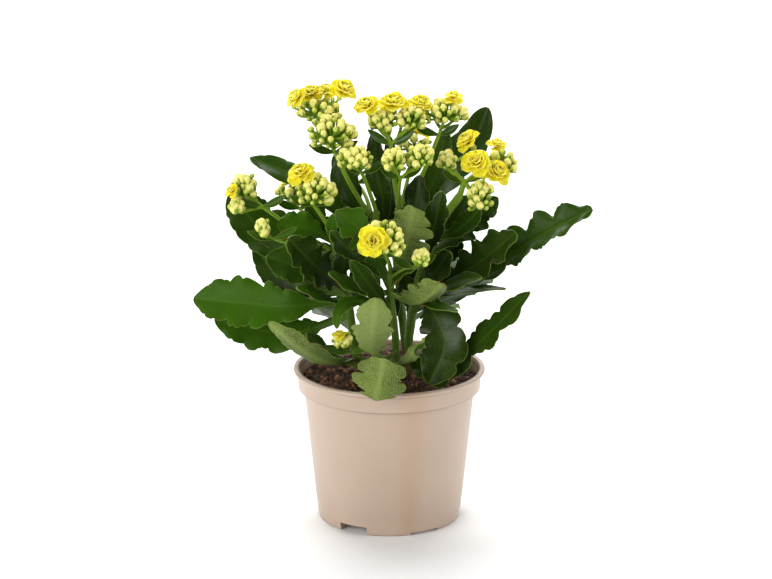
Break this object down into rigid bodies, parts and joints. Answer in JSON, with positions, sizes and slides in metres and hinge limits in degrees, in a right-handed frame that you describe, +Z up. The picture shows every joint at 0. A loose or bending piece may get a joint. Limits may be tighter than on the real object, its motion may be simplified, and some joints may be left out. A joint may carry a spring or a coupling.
{
  "type": "potted kalanchoe",
  "caption": "Bushy double yellow kalanchoe with lobed fleshy leaves and heads of buds, growing in a tapered beige nursery pot filled with peat.",
  "frame": {"origin": "the middle of the pot's foot, on the surface it stands on", "axes": "+Z up; -Y is the front that the picture shows; +X is to the right seen from the front"},
  "size_m": [0.2473, 0.1687, 0.2773],
  "materials": {
    "pot": "moulded, matt to satin, beige to taupe",
    "soil": "dark peat with reddish coir fibres, loose and rough",
    "leaf": "fleshy leaf, glossy deep green above, pale grey-green below, finely speckled",
    "bud": "smooth pale cream-yellow buds on light green stalks",
    "petal": "soft satin yellow petals"
  },
  "bodies": {
    "root": {"bloom_back_far_left_1": "petal", "bloom_back_left_1": "petal", "bloom_back_right_1": "petal", "bloom_far_left_1": "petal", "bloom_front_1": "petal", "bloom_left_high_1": "petal", "bloom_low_left_1": "petal", "bloom_right_1": "petal", "bloom_right_2": "petal", "bloom_right_3": "petal", "bloom_right_4": "petal", "bloom_top_left_1": "petal", "bloom_top_left_2": "petal", "bloom_top_left_3": "petal", "bloom_top_left_4": "petal", "bloom_top_middle_1": "petal", "bloom_top_middle_2": "petal", "bloom_top_middle_3": "petal", "bloom_top_right_1": "petal", "leafy_stem_centre": "leaf", "leafy_stem_left": "leaf", "leafy_stem_rear_left": "leaf", "leafy_stem_rear_right": "leaf", "leafy_stem_right": "leaf", "pot": "pot", "soil": "soil", "spray_back_far_left": "bud", "spray_back_left": "bud", "spray_back_right": "bud", "spray_far_left": "bud", "spray_front": "bud", "spray_front_right": "bud", "spray_left_high": "bud", "spray_left_low": "bud", "spray_low_left": "bud", "spray_right": "bud", "spray_top_left": "bud", "spray_top_middle": "bud", "spray_top_right": "bud", "spray_upper_left": "bud", "spray_upper_right": "bud"}
  },
  "joints": []
}
